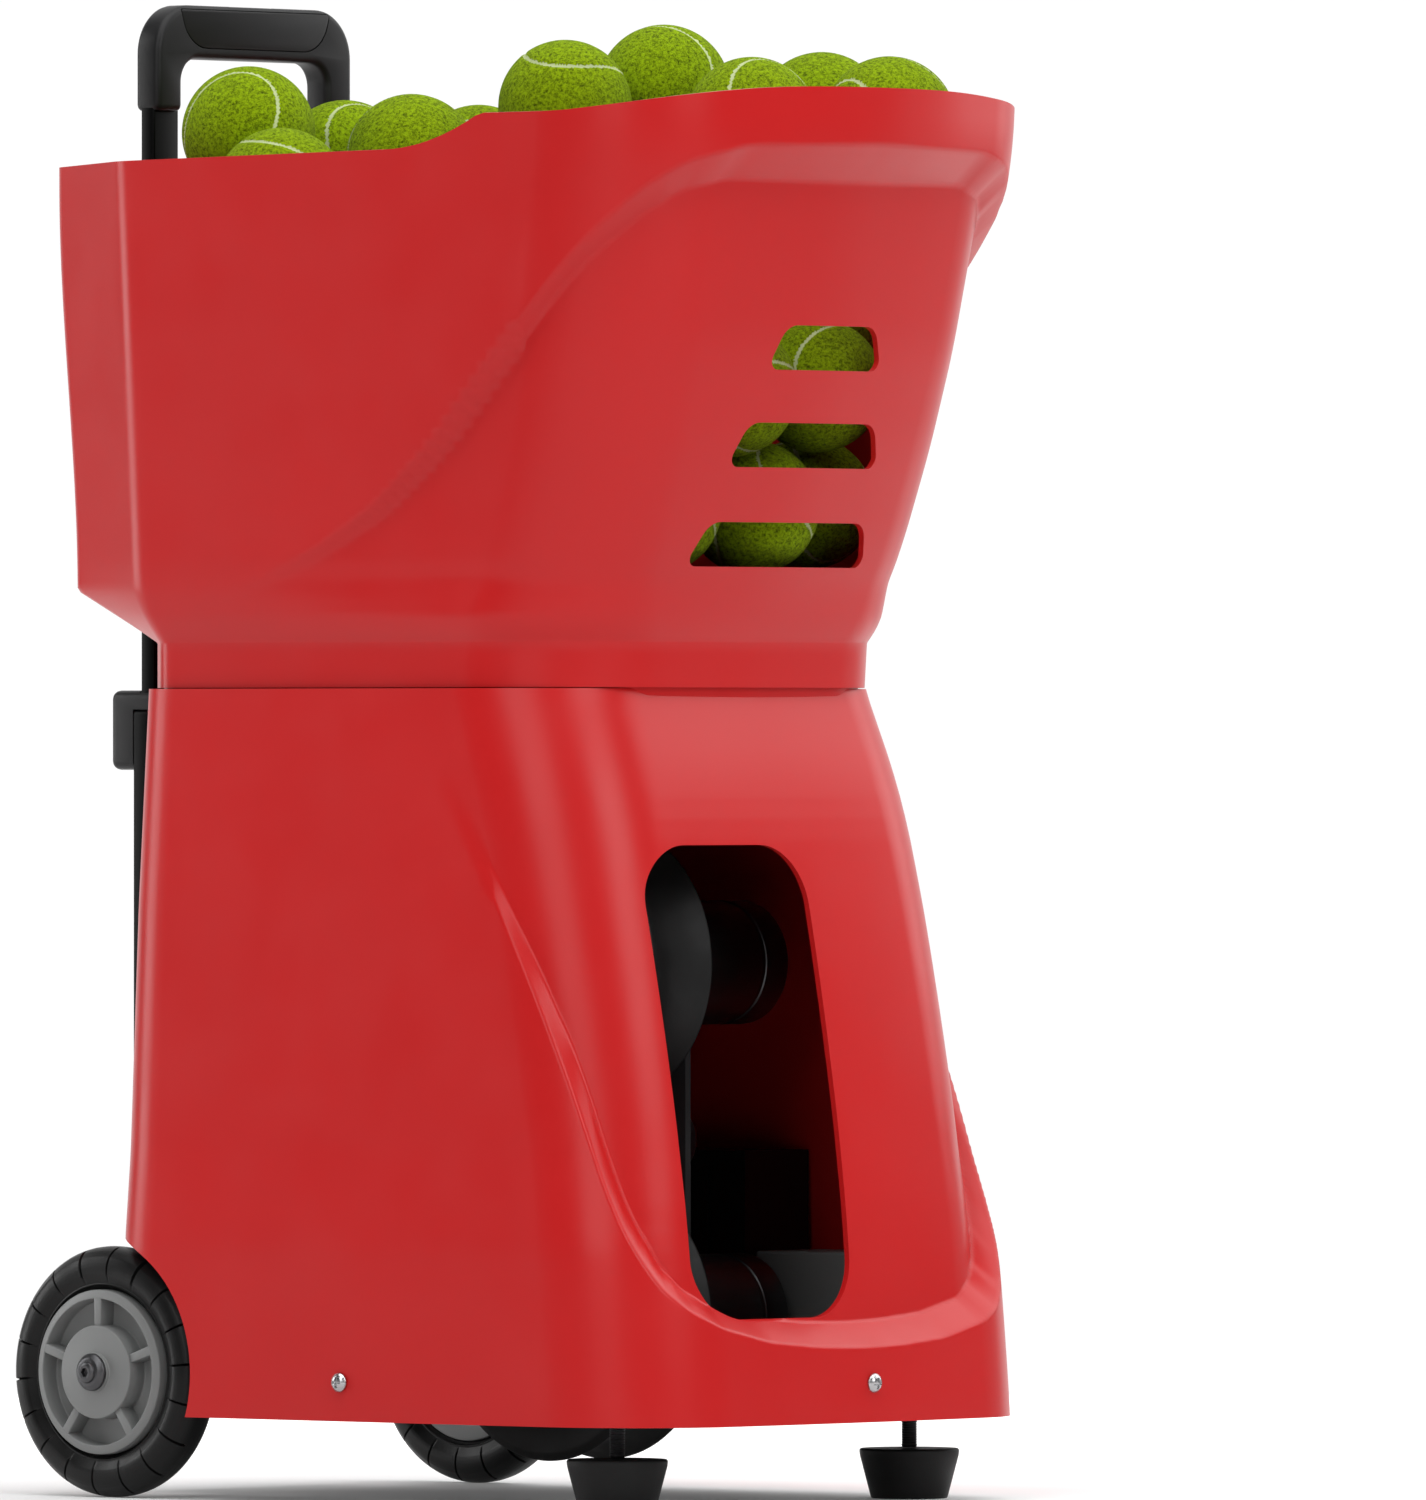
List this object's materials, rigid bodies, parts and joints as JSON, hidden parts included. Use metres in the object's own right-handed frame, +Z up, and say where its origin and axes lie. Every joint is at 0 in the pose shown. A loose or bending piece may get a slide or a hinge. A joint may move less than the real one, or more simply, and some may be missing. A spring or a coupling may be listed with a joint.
{
  "type": "tennis ball machine",
  "caption": "Wheeled tennis ball machine: open hopper above a casing with a tall outlet slot, spinning launch wheels that turn and tilt, trolley handle, rear wheels and feet.",
  "frame": {"origin": "centre of the bounding box on the ground", "axes": "+Z up, -Y the front where balls leave, X across the width"},
  "size_m": [0.3208, 0.4495, 0.749],
  "materials": {
    "red_plastic": "moulded red plastic with a soft satin face",
    "black_plastic": "fine-grained black plastic",
    "painted_frame": "black powder coat",
    "black_aluminium": "black anodised",
    "aluminium": "plain machined or folded aluminium",
    "motor_steel": "dark plated steel can",
    "bright_steel": "bright zinc-plated steel",
    "rubber": "matt black rubber",
    "tyre": "matt black tyre rubber with slits across the tread",
    "hub_grey": "mid-grey moulded plastic"
  },
  "bodies": {
    "base": {"lower_casing": "red_plastic", "hopper_bin": "red_plastic", "base_plate": "painted_frame", "deck_plate": "painted_frame", "feeder_floor": "black_plastic", "feeder_motor": "motor_steel", "drop_tube": "black_plastic", "yaw_motor": "motor_steel", "yaw_bearing": "bright_steel", "battery_pack": "black_plastic", "controller_box": "hub_grey", "control_panel": "black_plastic", "charge_socket": "bright_steel", "axle": "bright_steel", "axle_cap_left": "motor_steel", "axle_cap_right": "motor_steel", "wheel_well_left": "black_plastic", "wheel_well_right": "black_plastic", "handle_tube_left": "black_aluminium", "handle_tube_right": "black_aluminium", "upper_bracket": "black_plastic", "axle_bracket": "black_plastic", "foot_nut_left": "bright_steel", "foot_nut_right": "bright_steel", "casing_screw_left": "bright_steel", "casing_screw_right": "bright_steel", "casing_screw_front": "bright_steel", "casing_screw_rear": "bright_steel"},
    "feeder_wheel": {"feeder_disc": "black_plastic", "feeder_shaft": "bright_steel", "feeder_cap": "black_plastic"},
    "yaw_head": {"turntable": "aluminium", "yaw_shaft": "bright_steel", "yoke": "painted_frame", "tilt_motor": "motor_steel"},
    "launch_head": {"launch_plate": "painted_frame", "tilt_pin": "bright_steel", "ball_guide": "black_plastic", "upper_motor": "motor_steel", "lower_motor": "motor_steel"},
    "upper_launch_wheel": {"upper_launch_wheel_tread": "rubber", "upper_launch_wheel_core": "aluminium", "upper_launch_wheel_shaft": "bright_steel"},
    "lower_launch_wheel": {"lower_launch_wheel_tread": "rubber", "lower_launch_wheel_core": "aluminium", "lower_launch_wheel_shaft": "bright_steel"},
    "left_trolley_wheel": {"tyre_left": "tyre", "wheel_hub_left": "hub_grey"},
    "right_trolley_wheel": {"tyre_right": "tyre", "wheel_hub_right": "hub_grey"},
    "handle": {"handle_rod_left": "black_aluminium", "handle_rod_right": "black_aluminium", "handle_grip": "black_plastic", "grip_insert": "black_plastic"},
    "button": {"release_button": "black_plastic"},
    "left_foot": {"foot_pad_left": "rubber", "foot_rod_left": "bright_steel"},
    "right_foot": {"foot_pad_right": "rubber", "foot_rod_right": "bright_steel"},
    "rocker": {"power_switch": "black_plastic"}
  },
  "joints": [
    {"name": "feeder_spin", "type": "hinge", "parent": "base", "child": "feeder_wheel", "pos_m": [0, 0.0356, 0.432], "axis": [0, 0, 1], "continuous": true},
    {"name": "head_yaw", "type": "hinge", "parent": "base", "child": "yaw_head", "pos_m": [-0.045, -0.0624, 0.396], "axis": [0, 0, 1], "range_deg": [-10, 10]},
    {"name": "head_tilt", "type": "hinge", "parent": "yaw_head", "child": "launch_head", "pos_m": [0, -0.0624, 0.179], "axis": [-1, 0, 0], "range_deg": [-5, 20]},
    {"name": "upper_wheel_spin", "type": "hinge", "parent": "launch_head", "child": "upper_launch_wheel", "pos_m": [-0.045, -0.0624, 0.2673], "axis": [1, 0, 0], "continuous": true},
    {"name": "lower_wheel_spin", "type": "hinge", "parent": "launch_head", "child": "lower_launch_wheel", "pos_m": [-0.045, -0.0624, 0.0907], "axis": [1, 0, 0], "continuous": true},
    {"name": "left_wheel_spin", "type": "hinge", "parent": "base", "child": "left_trolley_wheel", "pos_m": [-0.137, 0.1636, 0.06275], "axis": [1, 0, 0], "continuous": true},
    {"name": "right_wheel_spin", "type": "hinge", "parent": "base", "child": "right_trolley_wheel", "pos_m": [0.137, 0.1636, 0.06275], "axis": [1, 0, 0], "continuous": true},
    {"name": "handle_slide", "type": "slide", "parent": "base", "child": "handle", "axis": [0, 0, 1], "range_m": [0, 0.25]},
    {"name": "button_press", "type": "slide", "parent": "handle", "child": "button", "axis": [0, 0, -1], "range_m": [0, 0.003], "stiffness_N_per_m": 600, "springref_m": -0.002},
    {"name": "left_foot_height", "type": "slide", "parent": "base", "child": "left_foot", "axis": [0, 0, 1], "range_m": [-0.008, 0.008]},
    {"name": "right_foot_height", "type": "slide", "parent": "base", "child": "right_foot", "axis": [0, 0, 1], "range_m": [-0.008, 0.008]},
    {"name": "switch_rock", "type": "hinge", "parent": "base", "child": "rocker", "pos_m": [0, 0.158, 0.26], "axis": [1, 0, 0], "range_deg": [0, 14]}
  ]
}
